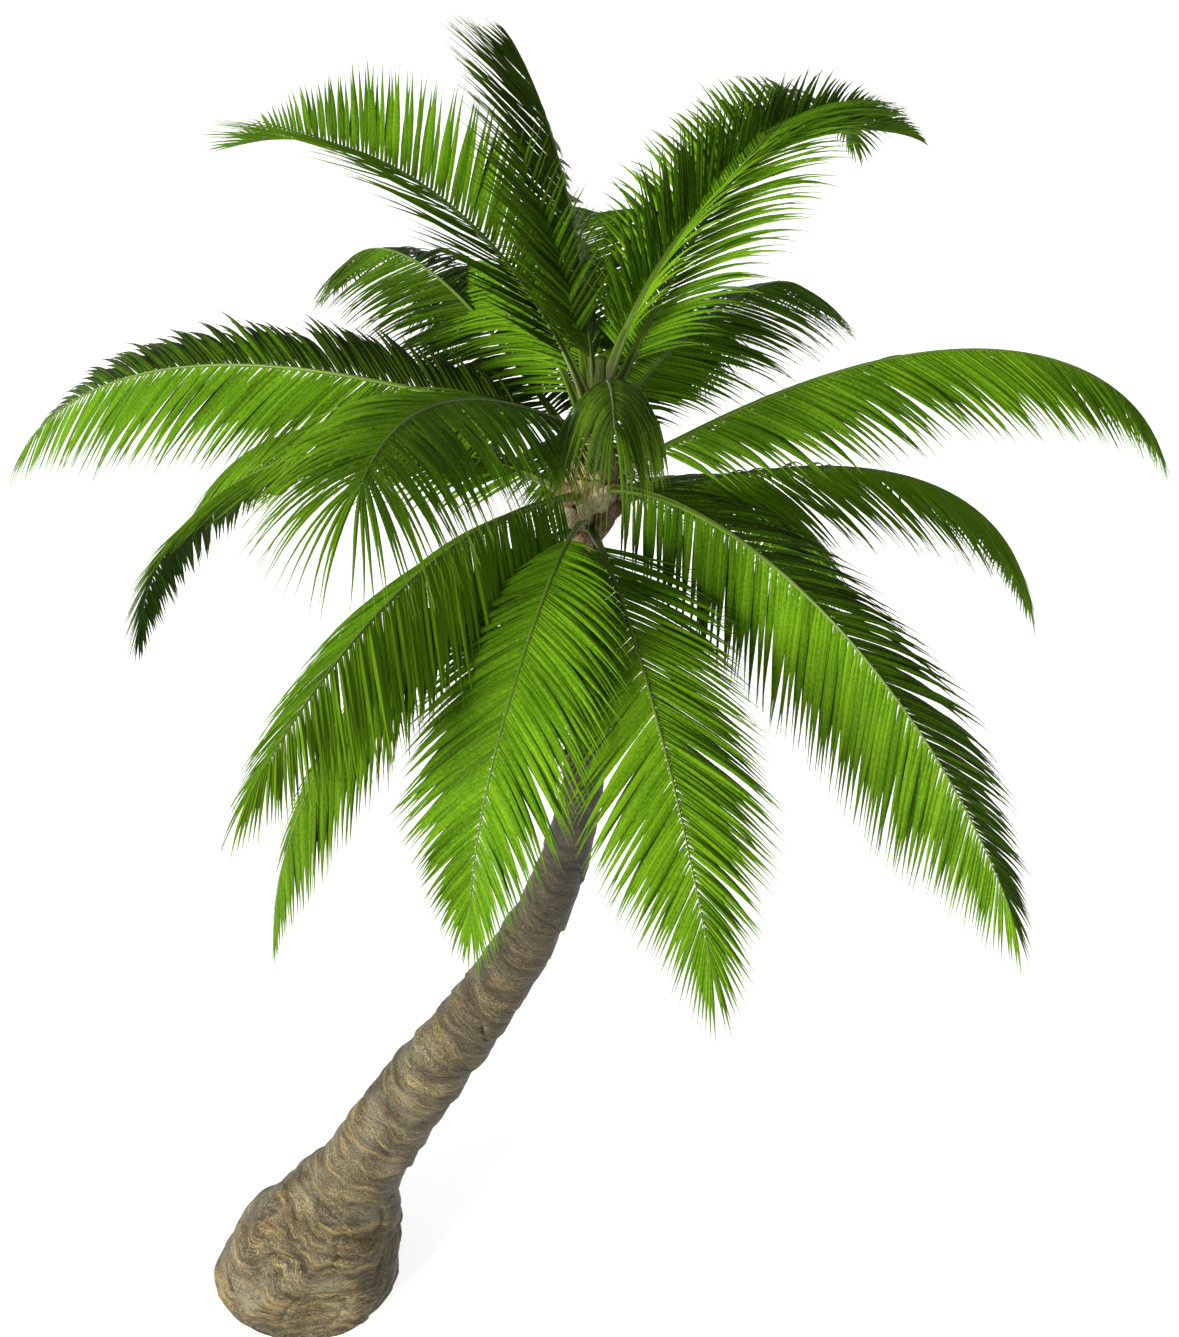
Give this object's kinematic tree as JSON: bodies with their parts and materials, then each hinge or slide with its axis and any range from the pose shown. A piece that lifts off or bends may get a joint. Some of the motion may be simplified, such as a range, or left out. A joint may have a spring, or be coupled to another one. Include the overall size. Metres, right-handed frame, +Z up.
{
  "type": "coconut palm tree",
  "caption": "Whole coconut palm with a leaning, curved trunk, a swollen foot cut flat at ground level and a full crown of long arching feather fronds.",
  "frame": {"origin": "middle of the flat cut at ground level", "axes": "+Z up, +X towards the side the trunk leans to, +Y towards the back of the crown"},
  "size_m": [9.0241, 9.6508, 10.7877],
  "materials": {
    "bark": "dull, ringed and cracked",
    "fibre": "dull woven fibre and split leaf bases",
    "frond": "waxy leaf, half gloss"
  },
  "bodies": {
    "root": {"trunk": "bark", "crown_heart": "fibre", "frond_back_left_1": "frond", "frond_back_left_2": "frond", "frond_back_left_low_1": "frond", "frond_back_left_low_2": "frond", "frond_back_low_1": "frond", "frond_back_low_2": "frond", "frond_back_middle_1": "frond", "frond_back_middle_2": "frond", "frond_back_right_1": "frond", "frond_back_right_2": "frond", "frond_back_right_low_1": "frond", "frond_back_right_low_2": "frond", "frond_back_upper_1": "frond", "frond_back_upper_2": "frond", "frond_front_centre_1": "frond", "frond_front_centre_2": "frond", "frond_front_hanging_1": "frond", "frond_front_hanging_2": "frond", "frond_front_hanging_3": "frond", "frond_front_left_1": "frond", "frond_front_left_2": "frond", "frond_front_left_high_1": "frond", "frond_front_left_high_2": "frond", "frond_front_left_low_1": "frond", "frond_front_left_low_2": "frond", "frond_front_left_low_3": "frond", "frond_front_right_1": "frond", "frond_front_right_2": "frond", "frond_front_right_hanging_1": "frond", "frond_front_right_hanging_2": "frond", "frond_high_left_1": "frond", "frond_high_left_2": "frond", "frond_high_right_1": "frond", "frond_high_right_2": "frond", "frond_left_1": "frond", "frond_left_2": "frond", "frond_low_left_1": "frond", "frond_low_left_2": "frond", "frond_low_left_3": "frond", "frond_right_1": "frond", "frond_right_2": "frond", "frond_spear_1": "frond", "frond_spear_2": "frond", "frond_top_back_1": "frond", "frond_top_back_2": "frond", "frond_top_right_1": "frond", "frond_top_right_2": "frond", "frond_top_right_behind_1": "frond", "frond_top_right_behind_2": "frond"}
  },
  "joints": []
}
